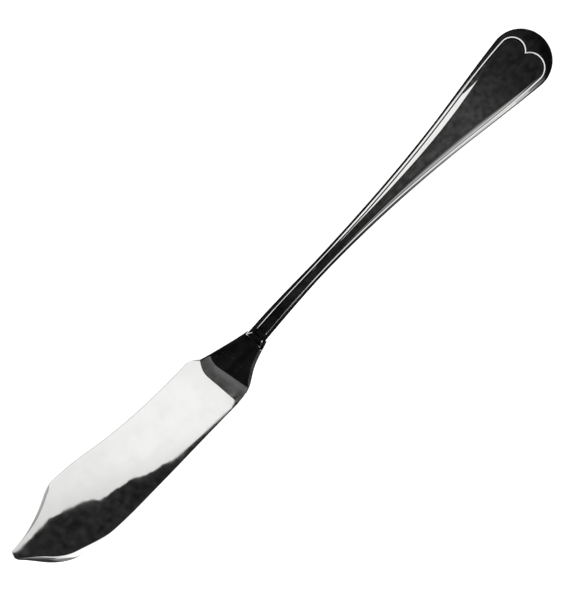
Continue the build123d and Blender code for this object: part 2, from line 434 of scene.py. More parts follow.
class NodeBoard:
    """The nodes of a material or of the world, set out by short calls."""

    def __init__(self, owner: Material | bpy.types.World) -> None:
        """Clear the board.

        Args:
            owner: The material or world that the nodes belong to.
        """
        self.owner = owner
        owner.use_nodes = True
        self.tree = owner.node_tree
        self.tree.nodes.clear()
        kind = "World" if isinstance(owner, bpy.types.World) else "Material"
        self.output = self.add(f"ShaderNodeOutput{kind}")

    def add(self, kind: str, **inputs: object) -> bpy.types.Node:
        """Add a node.

        Args:
            kind: The node's type.
            **inputs: Values or links for its inputs, with spaces in their names written as _.

        Returns:
            The node.
        """
        node = self.tree.nodes.new(kind)
        for name, value in inputs.items():
            self.put(node.inputs[name.replace("_", " ")], value)
        return node

    def put(self, socket: Socket, value: object) -> None:
        """Link an output to a socket, or set the socket's value.

        Args:
            socket: The socket that takes it.
            value: The output or the value.
        """
        if isinstance(value, Socket):
            self.tree.links.new(value, socket)
        else:
            socket.default_value = value

    def sum(self, operation: str, first: object, second: object) -> Socket:
        """Work out one sum of two numbers.

        Args:
            operation: The sum's kind.
            first: The first number, or a link to it.
            second: The second number, or a link to it.

        Returns:
            The result.
        """
        node = self.tree.nodes.new("ShaderNodeMath")
        node.operation = operation
        self.put(node.inputs[0], first)
        self.put(node.inputs[1], second)
        return node.outputs[0]

    def place(self, scale: Place = (1.0, 1.0, 1.0)) -> Socket:
        """Give Object coordinates, stretched."""
        here = self.add("ShaderNodeTexCoord").outputs["Object"]
        return self.add("ShaderNodeMapping", Vector=here, Scale=scale).outputs["Vector"]

    def axes(self, place: Socket) -> tuple[Socket, Socket]:
        """Give a place's x and y."""
        parts = self.add("ShaderNodeSeparateXYZ", Vector=place).outputs
        return parts["X"], parts["Y"]

    def noise(self, place: Socket, scale: float, detail: float) -> Socket:
        """Give cloudy noise from 0 to 1."""
        return self.add("ShaderNodeTexNoise", Vector=place, Scale=scale, Detail=detail).outputs["Fac"]

    def spread(self, value: Socket, low: float, high: float, first: float, last: float) -> Socket:
        """Map a number from one stretch to another.

        Args:
            value: The number.
            low: Where its own stretch starts.
            high: Where that ends.
            first: What it becomes at the start.
            last: What it becomes at the end.

        Returns:
            The mapped number.
        """
        stretch = {"From_Min": low, "From_Max": high, "To_Min": first, "To_Max": last}
        return self.add("ShaderNodeMapRange", Value=value, **stretch).outputs["Result"]

    def ramp(self, axis: Socket, ramp: Ramp) -> Socket:
        """Change evenly from one value to another between two places in millimetres."""
        start, end, first, last = ramp
        return self.spread(axis, start * MM, end * MM, first, last)

    def blend(self, share: Socket, first: object, second: object) -> Socket:
        """Blend two colours.

        Args:
            share: How much of the second there is.
            first: The first colour, or a link to it.
            second: The second colour.

        Returns:
            The blended colour.
        """
        node = self.add("ShaderNodeMix")
        node.data_type = "RGBA"
        # These are the sockets of a colour mix: its factor, its two colours and its result.
        for number, value in ((0, share), (6, first), (7, second)):
            colour = (*value, 1.0) if isinstance(value, tuple) else value
            self.put(node.inputs[number], colour)
        return node.outputs[2]

    def bump(self, height: Socket, depth: float, strength: float = 1.0, **under: Socket) -> Socket:
        """Raise a relief.

        Args:
            height: Its height, from 0 to 1.
            depth: How deep it is, in millimetres.
            strength: How strongly it shows.
            **under: The Normal of a relief beneath it.

        Returns:
            The normal.
        """
        relief = {"Height": height, "Distance": depth * MM, "Strength": strength}
        return self.add("ShaderNodeBump", **relief, **under).outputs["Normal"]

    def seen(self) -> Socket:
        """Tell rays that see from rays that light.

        Returns:
            One for camera, glossy and transmission rays, and zero for the rest.
        """
        path = self.add("ShaderNodeLightPath").outputs
        first = self.sum("MAXIMUM", path["Is Camera Ray"], path["Is Glossy Ray"])
        return self.sum("MAXIMUM", first, path["Is Transmission Ray"])

    def solid(self, colour: Socket, metallic: float, roughness: object, normal: Socket) -> Material:
        """Finish with a solid surface.

        Args:
            colour: Its colour.
            metallic: 1 for metal, 0 for the rest.
            roughness: How dull it is.
            normal: Its relief.

        Returns:
            The material.
        """
        shader = self.add(
            "ShaderNodeBsdfPrincipled",
            Base_Color=colour,
            Metallic=metallic,
            Roughness=roughness,
            Normal=normal,
        )
        return self.done(shader.outputs["BSDF"])

    def glow(self, strength: Socket) -> Material:
        """Finish with a white glow."""
        return self.done(self.add("ShaderNodeEmission", Color=WHITE, Strength=strength).outputs[0])

    def done(self, surface: Socket) -> Material | bpy.types.World:
        """Hand over the owner with its surface in place."""
        self.tree.links.new(surface, self.output.inputs["Surface"])
        return self.owner


@dataclass(frozen=True)
class PlatedFinish:
    """Silver plate, polished by hand along the knife: a mirror with fine hairlines and soft waves, and
    painted shade where a piece's own attribute asks for it.
    """

    name: str = "silver_plate"
    colour: Colour = (0.86, 0.86, 0.85)
    cloud_scale: float = 220.0
    cloud_detail: float = 3.0
    cloud_tone: float = 0.965
    tone_clouds: Point = (0.35, 0.7)
    polish: float = 0.04
    haze: float = 0.035
    haze_clouds: Point = (0.45, 0.75)
    hairline: float = 0.0002
    hairline_scale: Place = (60.0, 2600.0, 2600.0)
    hairline_detail: float = 4.0
    wave: float = 0.0015
    wave_scale: Place = (90.0, 160.0, 160.0)
    wave_detail: float = 1.0
    # Colour of the painted shade in the grooves, at the mouth and on the seat.
    painted_shade: Colour = (0.035, 0.034, 0.032)

    def material(self) -> Material:
        """Build the finish.

        Returns:
            The material.
        """
        board = NodeBoard(bpy.data.materials.new(self.name))
        cloud = board.noise(board.place(), self.cloud_scale, self.cloud_detail)
        lines = board.noise(board.place(self.hairline_scale), 1.0, self.hairline_detail)
        swell = board.noise(board.place(self.wave_scale), 1.0, self.wave_detail)
        dull = board.spread(cloud, *self.haze_clouds, self.polish, self.polish + self.haze)
        clouded = tuple(part * self.cloud_tone for part in self.colour)
        tone = board.blend(board.spread(cloud, *self.tone_clouds, 0.0, 1.0), self.colour, clouded)
        # Painted shade: the piece's attribute blends the plate towards near black.
        painted_shade_amount = board.add("ShaderNodeAttribute")
        painted_shade_amount.attribute_name = "painted_shade"
        shade = board.blend(painted_shade_amount.outputs["Fac"], tone, self.painted_shade)
        waves = board.bump(swell, self.wave)
        marks = board.bump(lines, self.hairline, Normal=waves)
        return board.solid(shade, 1.0, dull, marks)


@dataclass(frozen=True)
class SatinFinish:
    """Plain metal left from the wheel: solder films and pin wire."""

    name: str
    colour: Colour
    polish: float
    haze: float = 0.15
    haze_clouds: Point = (0.2, 0.8)
    grain_scale: float = 3200.0
    grain_detail: float = 3.0
    grain_tone: float = 0.8
    dent: float = 0.004
    dent_strength: float = 0.6

    def material(self) -> Material:
        """Build the finish.

        Returns:
            The material.
        """
        board = NodeBoard(bpy.data.materials.new(self.name))
        grain = board.noise(board.place(), self.grain_scale, self.grain_detail)
        dark = tuple(part * self.grain_tone for part in self.colour)
        shade = board.blend(grain, dark, self.colour)
        dull = board.spread(grain, *self.haze_clouds, self.polish, self.polish + self.haze)
        return board.solid(shade, 1.0, dull, board.bump(grain, self.dent, self.dent_strength))


@dataclass(frozen=True)
class CementFinish:
    """Dark resin cement with chalk in it, as loaded handles are filled."""

    name: str = "handle_cement"
    dark: Colour = (0.19, 0.14, 0.10)
    pale: Colour = (0.27, 0.20, 0.14)
    roughness: float = 0.85
    grain_scale: float = 900.0
    grain_detail: float = 5.0
    pit: float = 0.05
    pit_strength: float = 0.8

    def material(self) -> Material:
        """Build the finish.

        Returns:
            The material.
        """
        board = NodeBoard(bpy.data.materials.new(self.name))
        grain = board.noise(board.place(), self.grain_scale, self.grain_detail)
        shade = board.blend(grain, self.dark, self.pale)
        return board.solid(shade, 0.0, self.roughness, board.bump(grain, self.pit, self.pit_strength))


@dataclass(frozen=True)
class Tone:
    """One part of a card's grey: its clouds, times even changes along and across the knife."""

    clouds: tuple[float, ...] = ()
    along: tuple[Ramp, ...] = ()
    across: tuple[Ramp, ...] = ()


@dataclass(frozen=True)
class CardGrey:
    """A card's own glow: the sum of its tones, which share one cloudy noise."""

    name: str
    tones: tuple[Tone, ...]
    least: float = 0.0
    cloud_scale: float = 1.0
    cloud_detail: float = 4.0
    cloud_range: Point = (0.3, 0.7)
    cloud_stretch: Place = (1.0, 1.0, 1.0)

    def material(self) -> Material:
        """Build the finish.

        Returns:
            The material.
        """
        board = NodeBoard(bpy.data.materials.new(self.name))
        cloud = board.noise(board.place(self.cloud_stretch), self.cloud_scale, self.cloud_detail)
        axes = board.axes(board.place())
        grey = self.least
        for tone in self.tones:
            part = board.spread(cloud, *self.cloud_range, *tone.clouds) if tone.clouds else 1.0
            for axis, ramps in zip(axes, (tone.along, tone.across)):
                for ramp in ramps:
                    part = board.sum("MULTIPLY", part, board.ramp(axis, ramp))
            grey = board.sum("ADD", grey, part)
        return board.glow(grey)


@dataclass(frozen=True)
class SkyWhite:
    """The soft white over the blade: greyer towards the fan, the tip and the belly's shore."""

    name: str = "sky_white"
    cloud_scale: float = 14.0
    cloud_detail: float = 2.0
    cloud_range: Point = (0.3, 0.7)
    cloud_depth: float = 0.015
    least: float = 0.79
    tip: Ramp = (-188.0, -240.0, 1.045, 0.86)
    fan: Ramp = (-152.0, -138.0, 1.0, 0.92)
    shore: Ramp = (-121.0, -115.0, 0.84, 1.0)
    shore_way: Point = (0.344, 0.939)

    def material(self) -> Material:
        """Build the finish.

        Returns:
            The material.
        """
        board = NodeBoard(bpy.data.materials.new(self.name))
        here = board.place()
        cloud = board.noise(here, self.cloud_scale, self.cloud_detail)
        axes = board.axes(here)
        parts = [board.sum("MULTIPLY", axis, way) for axis, way in zip(axes, self.shore_way)]
        shore = board.ramp(board.sum("ADD", *parts), self.shore)
        white = board.sum("MULTIPLY", *(board.ramp(axes[0], ramp) for ramp in (self.tip, self.fan)))
        white = board.sum("MULTIPLY", white, shore)
        white = board.sum("MAXIMUM", white, self.least)
        clouds = board.spread(cloud, *self.cloud_range, -self.cloud_depth, self.cloud_depth)
        return board.glow(board.sum("ADD", white, clouds))


def coat(piece: Piece, finish: Material) -> None:
    """Give a piece one material all over."""
    piece.data.materials.clear()
    piece.data.materials.append(finish)


def settle(piece: Piece, finish: Material, node: str) -> None:
    """Coat a finished piece and let it stand for its CAD node.

    Args:
        piece: The piece.
        finish: Its material.
        node: The CAD node that it replaces.
    """
    coat(piece, finish)
    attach(piece, "root")
    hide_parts(node)
    log.info("%s stands for %s with %d faces", piece.name, node, len(piece.data.polygons))


@dataclass
class Handle:
    """Two struck half-shells with a thread border that ends in a heart, and the seam between them.

    A station is measured from the butt's end. A pair named for a change, such as panel_climbs,
    holds the stations where it begins and is complete. Only land_sides holds two values of y.
    """

    butt_radius: float = 8.85
    length: float = 115.9
    thickness: float = 5.0
    taper_angle: float = 6.0
    taper_station: float = 38.7
    taper_width: float = 10.1
    waist_from_mouth: float = 27.4
    waist_width: float = 4.15
    mouth_width: float = 5.15
    mouth_corners: Point = (0.45, 0.12)
    neck_sweep: float = 1.0
    neck_lean: float = 4.0
    wall: float = 0.6
    seam: float = 0.1
    seam_recess: float = 0.04
    seam_bevel: Point = (0.03, 0.06)
    seam_crease: float = 32.0
    cusp_depth: float = 6.87
    cusp_recess: float = 1.6
    cusp_side: float = 0.5
    lobe_middle: float = 0.25
    lobe_join: float = 2.5
    thread_butt: float = 1.75
    thread_side: float = 1.08
    thread_neck: Point = (0.98, 1.2)
    thread_end_gap: float = 2.3
    thread_end_spread: float = 0.95
    fade_run: float = 1.8
    bead_run: float = 0.5
    bead_rise: float = 0.195
    bead_back: float = 0.06
    bead_round: float = 1.5
    bead_inner: Place = (1.0, 0.4, 0.0)
    bead_outer: tuple[float, ...] = (0.1, 0.2, 0.35, 0.5, 0.65, 0.8, 0.9, 1.0, 1.06)
    bead_thinning: Point = (0.72, 0.42)
    groove_spine: float = 0.3
    groove_edge: float = 0.1
    groove_level: float = 0.03
    groove_lines: Point = (0.85, 0.15)
    # How much painted shade the groove's rings carry.
    groove_painted_shade: float = 0.85
    groove_rings: int = 4
    panel_crown: float = 0.005
    panel_half: float = 6.0
    panel_rise: float = 0.32
    panel_foot: float = 0.035
    panel_climbs: Point = (8.0, 30.0)
    panel_descends: Point = (50.0, 104.0)
    bevel_base: float = 0.2
    bevel_swell: float = 1.6
    bevel_tilt: float = 18.0
    bevel_widens: Point = (4.0, 34.0)
    bevel_narrows: Point = (36.0, 80.0)
    bevel_starts: Point = (6.0, 12.0)
    bevel_floor_starts: Point = (80.0, 92.0)
    bevel_steps: int = 6
    land_level: float = 4.62
    land_drop: float = 0.16
    land_tilt: float = 21.0
    land_sides: Point = (1.0, -3.0)
    land_ends: Point = (52.0, 76.0)
    chamfer: float = 0.42
    chamfer_tilt: float = 39.0
    chamfer_swell: Point = (1.38, 1.75)
    chamfer_arris: float = 0.04
    mouth_run: float = 1.2
    mouth_share: float = 0.42
    mouth_ease: float = 0.9
    # Painted shade on the mouth's end: how strong, how far in from the mouth it reaches, and half its
    # width.
    mouth_painted_shade: float = 0.8
    mouth_painted_shade_run: float = 0.2
    mouth_painted_shade_half: float = 2.2
    crease: float = 14.0
    corner_runs: int = 8
    columns: int = 170
    rows: int = 64

    def __post_init__(self) -> None:
        """Work out the places that the sizes give."""
        self.mouth_x = self.butt_radius - self.length
        self.taper_x = self.butt_radius - self.taper_station
        self.waist_x = self.mouth_x + self.waist_from_mouth
        self.panel_end_x = self.mouth_x + self.thread_end_gap
        self.middle = self.thickness / 2
        lean = math.radians(self.neck_lean)
        self.neck_way = (-math.cos(lean), -math.sin(lean))

    def side_line(
        self, side: Side, first: Point, way: Point, insets: Place, end_x: float, count: int
    ) -> list[Point]:
        """Draw a long side from the butt to the neck.

        Args:
            side: Which side.
            first: Where it leaves the butt.
            way: Its direction there.
            insets: How far in it lies at the taper, the waist and the end.
            end_x: Where it ends.
            count: How many runs it has.

        Returns:
            Its points, from the butt.
        """
        sign = side.value
        at_taper, at_waist, at_end = insets
        knots = [
            first,
            (self.taper_x, sign * (self.taper_width / 2 - at_taper)),
            (self.waist_x, sign * (self.waist_width / 2 - at_waist)),
            (end_x, sign * (self.mouth_width / 2 - at_end) - self.neck_sweep),
        ]
        return smooth_curve(knots, way, self.neck_way, count)

    def outer_ring(
        self, inset: float, mouth_inset: float = 0.0, swell: Point = (1.0, 1.0)
    ) -> list[Point]:
        """Draw the handle's own outline, set in.

        Args:
            inset: How far in from the sides and the butt.
            mouth_inset: How far in from the mouth.
            swell: How many times as far in it lies at the waist and at the mouth.

        Returns:
            The closed ring.
        """
        radius = self.butt_radius - inset
        angle = math.radians(self.taper_angle)
        tangent = (-radius * math.sin(angle), radius * math.cos(angle))
        insets = (inset, inset * swell[0], inset * swell[1])
        end_x = self.mouth_x + mouth_inset
        runs = self.columns - self.corner_runs
        sides = []
        for side, corner in zip(Side, self.mouth_corners):
            first = (tangent[0], side.value * tangent[1])
            way = (-tangent[1], side.value * tangent[0])
            line = self.side_line(side, first, way, insets, end_x + corner, runs)
            for i in range(1, self.corner_runs + 1):
                turn = math.pi / 2 * i / self.corner_runs
                x = end_x + corner * (1 - math.sin(turn))
                y = line[runs][1] - side.value * corner * (1 - math.cos(turn))
                line.append((x, y))
            sides.append(line)
        spine, edge = sides
        butt = arc_through(spine[0], (radius, 0.0), edge[0], self.rows)
        mouth = straight(edge[-1], spine[-1], self.rows)
        return spine[:0:-1] + butt[:-1] + edge[:-1] + mouth[:-1]

    def heart_ring(self, inset: float, groove: float = 0.0, deep: float = 0.0) -> list[Point]:
        """Draw a line of the thread border, with the heart's lobes at the butt.

        Args:
            inset: How far inside the bead's crest it lies, without the groove.
            groove: How much of the groove's width it is set in by besides, as a share.
            deep: How much of the bevel's swell it is set in by besides, as a share.

        Returns:
            The closed ring.
        """
        recess = self.cusp_recess * (inset + groove * self.groove_spine)
        cusp = (self.butt_radius - self.cusp_depth - recess, self.cusp_side)
        thin = self.bead_thinning if inset < 0 else (1.0, 1.0)
        within = inset - self.bead_back - self.bevel_base + (groove - 1) * self.groove_spine
        end_x = self.panel_end_x + self.thread_end_spread * within
        join = math.radians(self.lobe_join)
        start = self.lobe_middle
        sides, lobes = [], []
        for side, width in zip(Side, (self.groove_spine, self.groove_edge)):
            sign = side.value
            inwards = inset + groove * width
            half = self.butt_radius - self.thread_butt - inwards
            at_neck = [thread + inwards * share for thread, share in zip(self.thread_neck, thin)]
            insets = (self.thread_side + inwards, *at_neck)
            across = half - sign * self.cusp_side
            lobe = (across**2 + (cusp[0] - start) ** 2) / (2 * across)
            middle = sign * (half - lobe)
            first = (start - lobe * math.sin(join), middle + sign * lobe * math.cos(join))
            way = (-math.cos(join), -sign * math.sin(join))
            line = self.side_line(side, first, way, insets, end_x, self.columns)
            sides.append([(x, y - sign * deep * self.swell(x)) for x, y in line])
            lobes.append(arc_through(first, (start + lobe, middle), cusp, self.rows // 2))
        spine, edge = sides
        butt = lobes[0][:-1] + lobes[1][::-1]
        end = straight(edge[-1], spine[-1], self.rows)
        return spine[:0:-1] + butt[:-1] + edge[:-1] + end[:-1]

    def swell(self, x: float) -> float:
        """Say how much wider than its base the bevel is.

        Args:
            x: Where along the handle.

        Returns:
            The extra width.
        """
        station = self.butt_radius - x
        kept = 1 - smoothstep(*self.bevel_narrows, station)
        return self.bevel_swell * smoothstep(*self.bevel_widens, station) * kept

    def along_neck(self, x: float, at_waist: float, at_end: float) -> float:
        """Go evenly from 1 at the taper to other sizes at the waist and at the panel's end."""
        places = [-self.taper_x, -self.waist_x, -self.panel_end_x]
        return float(np.interp(-x, places, (1.0, at_waist, at_end)))

    def faded(self, x: float, rise: float) -> float:
        """Let the border's relief die out towards the mouth."""
        return self.land_level + rise * smoothstep(0.0, self.fade_run, x - self.panel_end_x)

    def panel_height(self, x: float, y: float, _along: float = 0.0) -> float:
        """Give the height of the panel: nearly flat, highest over the middle of the handle.

        Args:
            x: Where along the handle.
            y: Where across it.

        Returns:
            The height.
        """
        station = self.butt_radius - x
        rise = self.panel_rise * smoothstep(*self.panel_climbs, station)
        rise *= 1 - smoothstep(*self.panel_descends, station)
        crown = self.panel_crown * min(1.0, (y / self.panel_half) ** 2)
        return self.faded(x, self.panel_foot + rise - crown)

    def border_rings(self) -> list[list[Place]]:
        """Draw the rings from the panel's edge out over bevel, groove and bead.

        Returns:
            The rings in order, the panel's own edge first.
        """
        rings = []
        slope = math.tan(math.radians(self.bevel_tilt)) / 2
        for i in range(self.bevel_steps + 1):
            share = i / self.bevel_steps
            inset = self.bead_back + self.bevel_base * (1 - share)
            ring = []
            for x, y in self.heart_ring(inset, 1.0, 1 - share):
                station = self.butt_radius - x
                drop = slope * (self.bevel_base + self.swell(x)) * share**2
                drop *= smoothstep(*self.bevel_starts, station)
                level = self.groove_level * smoothstep(*self.bevel_floor_starts, station)
                ring.append((x, y, max(self.panel_height(x, y) - drop, self.faded(x, level))))
            rings.append(ring)
        for share in self.groove_lines:
            line = self.heart_ring(self.bead_back, share)
            rings.append([(x, y, self.faded(x, self.groove_level)) for x, y in line])
        inner = [(self.bead_back * part, 1 - part**self.bead_round) for part in self.bead_inner]
        outer = [(-self.bead_run * part, 1 - eased(min(part, 1.0))) for part in self.bead_outer]
        for inset, height in inner + outer:
            foot = self.groove_level if inset > 0 else 0.0
            ring = []
            for x, y in self.heart_ring(inset):
                crest = self.bead_rise * self.along_neck(x, *self.bead_thinning)
                ring.append((x, y, self.faded(x, mix(foot, crest, height))))
            rings.append(ring)
        return rings

    def wall_rings(self) -> list[list[Place]]:
        """Draw the rings from the land over the chamfer, down the wall and back up inside it.

        Returns:
            The rings in order, the inside of the shell's roof last.
        """
        rings = []
        fall = math.tan(math.radians(self.chamfer_tilt))
        lean = math.tan(math.radians(self.land_tilt))
        edge = slice(self.columns + self.rows, 2 * self.columns + self.rows)
        bead = self.heart_ring(-self.bead_outer[-1] * self.bead_run)
        brink = self.outer_ring(self.chamfer, self.mouth_run, self.chamfer_swell)
        foot, top = (np.array(ring[edge][::-1]) for ring in (bead, brink))
        for share, below in ((1.0, 0.0), (0.0, 0.0), (0.0, self.chamfer_arris)):
            mouth_inset = self.mouth_run * share
            ring = []
            for x, y in self.outer_ring(self.chamfer * share, mouth_inset, self.chamfer_swell):
                width = self.chamfer * self.along_neck(x, *self.chamfer_swell)
                room = np.interp(x, foot[:, 0], foot[:, 1]) - np.interp(x, top[:, 0], top[:, 1])
                land = min(self.land_drop, max(float(room), 0.0) * lean)
                land *= smoothstep(*self.land_sides, y)
                land *= 1 - smoothstep(*self.land_ends, self.butt_radius - x)
                drop = land + below + (1.0 - share) * width * fall
                from_mouth = x - self.mouth_x - mouth_inset
                kept = mix(self.mouth_share, 1.0, smoothstep(0.0, self.mouth_ease, from_mouth))
                ring.append((x, y, self.land_level - drop * kept))
            rings.append(ring)
        low = self.middle + self.seam / 2
        bevel_in, bevel_up = self.seam_bevel
        inside = (
            (0.0, low + bevel_up),
            (bevel_in, low),
            (self.wall, low),
            (self.wall, self.thickness - self.wall),
        )
        rings += [[(x, y, z) for x, y in self.outer_ring(inset)] for inset, z in inside]
        return rings

    def build(self) -> list[Piece]:
        """Model the two shells and the seam.

        Returns:
            The front shell, the back shell and the seam's solder.
        """
        border = self.border_rings()
        first_groove = self.bevel_steps + 1
        groove = range(first_groove, first_groove + self.groove_rings)
        bench = Workpiece("plated_handle_front", self.columns, self.rows)
        bench.lay([(x, y) for x, y, _ in border[0]], self.panel_height)
        # The groove's rings are drawn out with painted shade.
        for i, ring in enumerate(border[1:] + self.wall_rings(), start=1):
            bench.draw_out(ring, self.groove_painted_shade if i in groove else 0.0)
        bench.close()
        # Painted shade on the mouth's end.
        bench.darken(self.in_mouth, self.mouth_painted_shade)
        front = bench.finish(self.crease)
        bpy.ops.object.duplicate()
        back = bpy.context.active_object
        back.name = back.data.name = "plated_handle_back"
        bpy.ops.object.mode_set(mode="EDIT")
        bpy.ops.mesh.select_all(action="SELECT")
        mirror_picked(self.middle)
        bpy.ops.mesh.normals_make_consistent(inside=False)
        bpy.ops.object.mode_set(mode="OBJECT")
        return [front, back, self.build_seam()]

    def in_mouth(self, place: Vector) -> bool:
        """Say whether a place is on the mouth, between its corners."""
        across = abs(place.y + self.neck_sweep)
        return place.x < self.mouth_x + self.mouth_painted_shade_run and across < self.mouth_painted_shade_half

    def build_seam(self) -> Piece:
        """Model the solder line between the shells as a thin hollow band.

        Returns:
            The band.
        """
        low, high = self.middle - self.seam / 2, self.middle + self.seam / 2
        bench = Workpiece("seam_solder_line", self.columns, self.rows)
        bench.lay(self.outer_ring(self.seam_recess), lambda x, y, along: high)
        for inset in (self.seam_recess, self.wall):
            bench.draw_out([(x, y, low) for x, y in self.outer_ring(inset)])
        bench.close()
        return bench.finish(self.seam_crease)

    def dress(self, pieces: Sequence[Piece], plate: Material, solder: Material) -> None:
        """Plate the shells and solder the seam.

        Args:
            pieces: The front shell, the back shell and the seam.
            plate: The shells' finish.
            solder: The seam's finish.
        """
        front, back, seam = pieces
        settle(front, plate, "handle_front")
        settle(back, plate, "handle_back")
        settle(seam, solder, "handle_seam_solder")


@dataclass
class Blade:
    """The flat blade: hump, notch and hollow on its back, ground belly, and the root in the shoulder.

    The places from rise to belly, and the pairs that say where a change starts or ends, are
    measured from the tip. The other places are measured from the handle's mouth.
    """

    handle: Handle
    reach: float = 89.1
    back_half: float = 0.85
    edge_half: float = 0.3
    least_half: float = 0.08
    heel: Point = (17.2, 7.85)
    root_station: float = 12.6
    root_spine: float = 4.4
    root_edge: float = -8.6
    heel_station: float = 15.2
    heel_edge: float = -10.1
    rise: Point = (41.8, 9.4)
    hump: Point = (22.1, 11.9)
    notch: Point = (16.9, 10.2)
    hollow: Point = (11.4, 8.0)
    nose_side: float = 4.55
    nose_half: float = 1.7
    nose_round: float = 0.7
    belly: tuple[Point, ...] = ((5.8, -3.4), (11.4, -7.6), (19.7, -9.5), (48.7, -10.25))
    arris: float = 0.2
    arris_fall: float = 0.3
    arris_middle: Point = (0.5, 0.45)
    arris_start: float = 0.02
    notch_arris: float = 0.6
    notch_starts: Point = (21.8, 18.5)
    notch_ends: Point = (4.0, 12.0)
    tip_arris: float = 0.5
    tip_ends: Point = (0.5, 5.5)
    tip_grind: float = 1.67
    tip_grind_ends: Point = (25.0, 13.0)
    belly_grind: Point = (0.03, 0.13)
    belly_grind_starts: Point = (27.0, 36.0)
    steep_starts: Point = (25.0, 33.0)
    grind_fall: Point = (0.2, 0.75)
    grind_ease: float = 0.94
    grind_step: float = 0.02
    grind_step_width: float = 0.3
    brow_share: Point = (0.12, 0.32)
    brow_starts: Point = (1.5, 6.0)
    brow_fall: Point = (0.13, 0.75)
    soft_share: float = 0.06
    crease: float = 20.0
    columns: int = 200
    rows: int = 32

    def __post_init__(self) -> None:
        """Work out the level that the blade lies at, and how low its belly hangs."""
        self.middle = self.handle.middle
        self.deepest = min(y for _, y in self.belly)

    def at(self, station: float, side: float) -> Point:
        """Give the point at a station from the handle's mouth towards the tip, and to a side."""
        return (self.handle.mouth_x - station, side)

    def near_tip(self, place: Point) -> Point:
        """Give the point at a distance from the tip, and to a side."""
        return self.at(self.reach - place[0], place[1])

    def from_tip(self, x: float) -> float:
        """Say how far from the tip x lies."""
        return x - self.handle.mouth_x + self.reach

    def half(self, y: float) -> float:
        """Give half of the blade's thickness at y: it thins from its back to its edge."""
        share = (y - self.deepest) / (self.hump[1] - self.deepest)
        return mix(self.edge_half, self.back_half, share)

    def outline(self) -> list[Point]:
        """Draw the blade's outline.

        Returns:
            The closed ring: the back, the nose, the belly and the root.
        """
        root = self.at(self.root_station, self.root_spine)
        heel = self.at(*self.heel)
        hump = self.near_tip(self.hump)
        nose_top = self.near_tip((self.nose_round, self.nose_side + self.nose_half))
        nose_bottom = self.near_tip((self.nose_round, self.nose_side - self.nose_half))
        radius = (self.nose_half**2 + self.nose_round**2) / (2 * self.nose_round)
        away = (self.nose_half, self.nose_round - radius)
        edge_heel = self.at(self.heel_station, self.heel_edge)
        edge_root = self.at(self.root_station, self.root_edge)
        forward = (-1, 0)
        heel_runs, back_runs, notch_runs, belly_runs, root_runs = 80, 400, 240, 700, 30
        back = smooth_curve([root, heel], (-1, 1), forward, heel_runs)[:-1]
        knots = [heel, self.near_tip(self.rise), hump]
        back += smooth_curve(knots, forward, forward, back_runs)[:-1]
        knots = [hump, self.near_tip(self.notch), self.near_tip(self.hollow), nose_top]
        back += smooth_curve(knots, forward, forward, notch_runs)
        knots = [nose_bottom, *(self.near_tip(place) for place in self.belly), edge_heel]
        line = smooth_curve(knots, away, (1, 0), belly_runs)
        belly = [(x, max(y, self.deepest)) for x, y in line]
        belly += straight(edge_heel, edge_root, root_runs)[1:]
        nose = arc_through(nose_top, self.near_tip((0.0, self.nose_side)), nose_bottom, self.rows)
        spine = spaced(back, self.columns)
        edge = spaced(belly, self.columns)
        far = straight(edge[-1], spine[0], self.rows)
        return spine[:-1] + nose[:-1] + edge[:-1] + far[:-1]

    def widths(self) -> list[float]:
        """Say how wide the softened or ground border is at each point of the outline.

        Returns:
            One width for each point.
        """
        widths = []
        for i, (x, _) in enumerate(self.outline()):
            from_tip = self.from_tip(x)
            if i <= self.columns:
                notch = smoothstep(*self.notch_starts, from_tip)
                notch *= smoothstep(*self.notch_ends, from_tip)
                width = self.arris + self.notch_arris * notch
            elif i < self.columns + self.rows:
                width = mix(self.arris, self.tip_arris, (i - self.columns) / self.rows)
            elif i <= 2 * self.columns + self.rows:
                ground = mix(*self.belly_grind, smoothstep(*self.belly_grind_starts, from_tip))
                ground += self.tip_grind * smoothstep(*self.tip_grind_ends, from_tip)
                width = mix(self.tip_arris, ground, smoothstep(*self.tip_ends, from_tip))
            else:
                width = 0.0
            widths.append(width)
        return widths

    def border_rings(
        self, outline: list[Point], border: list[Point], widths: list[float]
    ) -> list[list[Place]]:
        """Draw the rings from the face's edge out over the arris or the ground edge.

        Args:
            outline: The blade's outline.
            border: The edge of its face.
            widths: How wide the softened or ground border is at each point.

        Returns:
            The soft start, the brow, the rim and the middle of the blade's thickness.
        """
        root = 2 * self.columns + self.rows
        soft, brow, rim = [], [], []
        for i, ((x, y), (bx, by)) in enumerate(zip(outline, border)):
            top = self.half(by)
            from_tip = self.from_tip(x)
            steep = smoothstep(*self.steep_starts, from_tip)
            ground = self.columns + self.rows // 2 < i < root
            fall = mix(*self.grind_fall, steep) if ground else self.arris_fall
            step = self.grind_step * (1 - steep) * min(1.0, widths[i] / self.grind_step_width)
            low = top - fall * mix(1.0, self.grind_ease, steep) * widths[i] - step
            low = self.half(y) if i > root or i == 0 else max(low, self.least_half)
            near = mix(by, y, self.soft_share)
            if ground:
                first = self.half(near)
                share = mix(*self.brow_share, smoothstep(*self.brow_starts, from_tip))
                over = (share - self.soft_share) * widths[i]
                level = top - mix(*self.brow_fall, steep) * over
            else:
                first = mix(top, low, self.arris_start)
                share = self.arris_middle[0]
                level = mix(top, low, self.arris_middle[1])
            soft.append((mix(bx, x, self.soft_share), near, self.middle + first))
            brow.append((mix(bx, x, share), mix(by, y, share), self.middle + level))
            rim.append((x, y, self.middle + low))
        return [soft, brow, rim, [(x, y, self.middle) for x, y in outline]]

